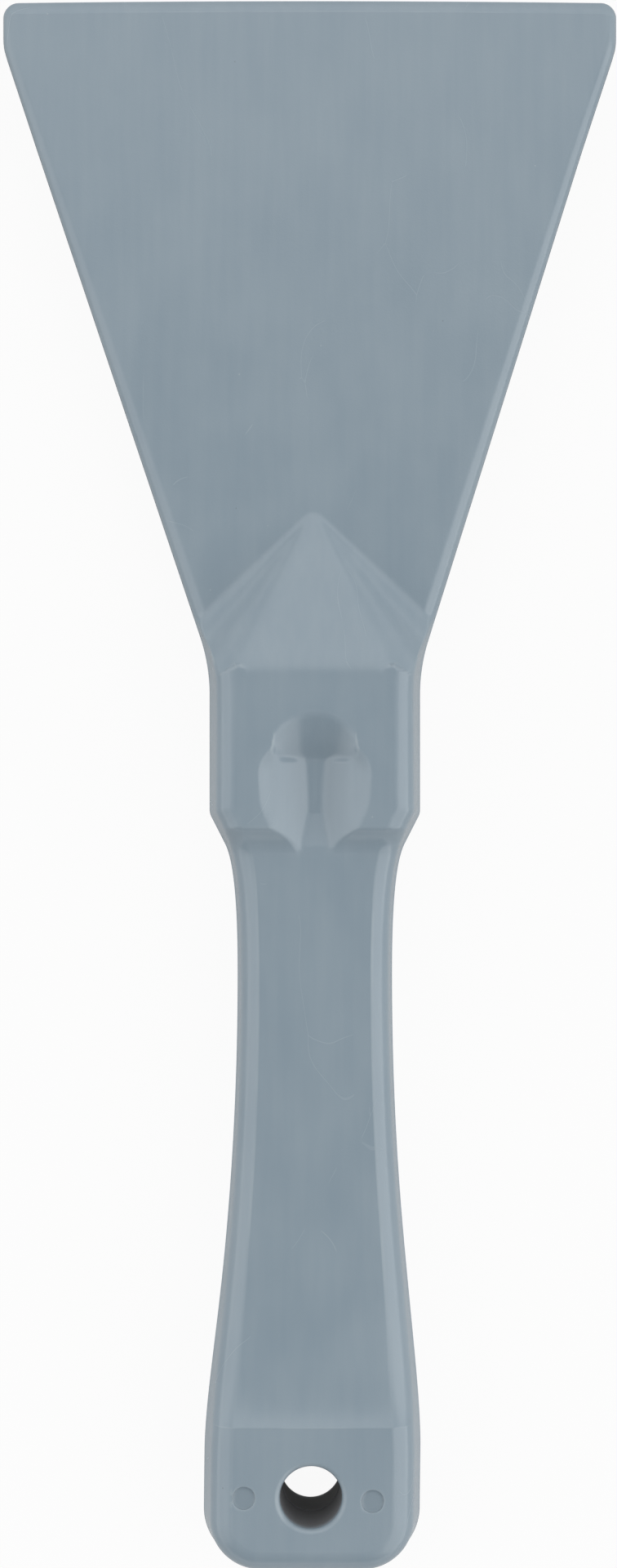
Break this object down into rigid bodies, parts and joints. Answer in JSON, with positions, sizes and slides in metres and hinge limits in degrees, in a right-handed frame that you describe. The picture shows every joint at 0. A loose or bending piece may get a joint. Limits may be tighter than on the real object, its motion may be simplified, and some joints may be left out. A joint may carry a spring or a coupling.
{
  "type": "hand scraper",
  "caption": "One-piece moulded plastic hand scraper: wide thin blade, wedge shoulder, thumb block with groove, waisted grip, and butt pad with a hang hole.",
  "frame": {"origin": "middle of the part's box in X and Y, on the plane that the back of the block and of the butt pad rest on", "axes": "+Y along the tool towards the scraping edge, +X across the blade, +Z out of the front face, which has the thumb groove"},
  "size_m": [0.1016, 0.259, 0.022],
  "materials": {
    "grey_blue_plastic": "satin, as moulded"
  },
  "bodies": {
    "root": {"scraper_moulding": "grey_blue_plastic"}
  },
  "joints": []
}
